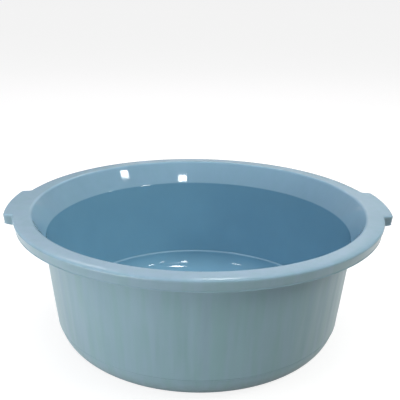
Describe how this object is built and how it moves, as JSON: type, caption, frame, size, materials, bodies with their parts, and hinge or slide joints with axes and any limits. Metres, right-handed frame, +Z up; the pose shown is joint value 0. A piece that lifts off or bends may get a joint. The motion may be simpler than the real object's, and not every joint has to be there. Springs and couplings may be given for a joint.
{
  "type": "washing-up basin",
  "caption": "Round shallow household basin of moulded plastic with a flared mouth, a flat turned-down rim and tab handles on opposite sides.",
  "frame": {"origin": "centre of the flat underside, where the basin stands", "axes": "+X towards the right handle, +Y towards the back, +Z up out of the basin's mouth"},
  "size_m": [0.419, 0.4, 0.15],
  "materials": {
    "basin_plastic": "moulded grey-blue polypropylene, satin outside and glossier inside"
  },
  "bodies": {
    "root": {"floor": "basin_plastic", "base_curve": "basin_plastic", "side_wall": "basin_plastic", "flare": "basin_plastic", "rim": "basin_plastic", "handle_right": "basin_plastic", "handle_left": "basin_plastic"}
  },
  "joints": []
}
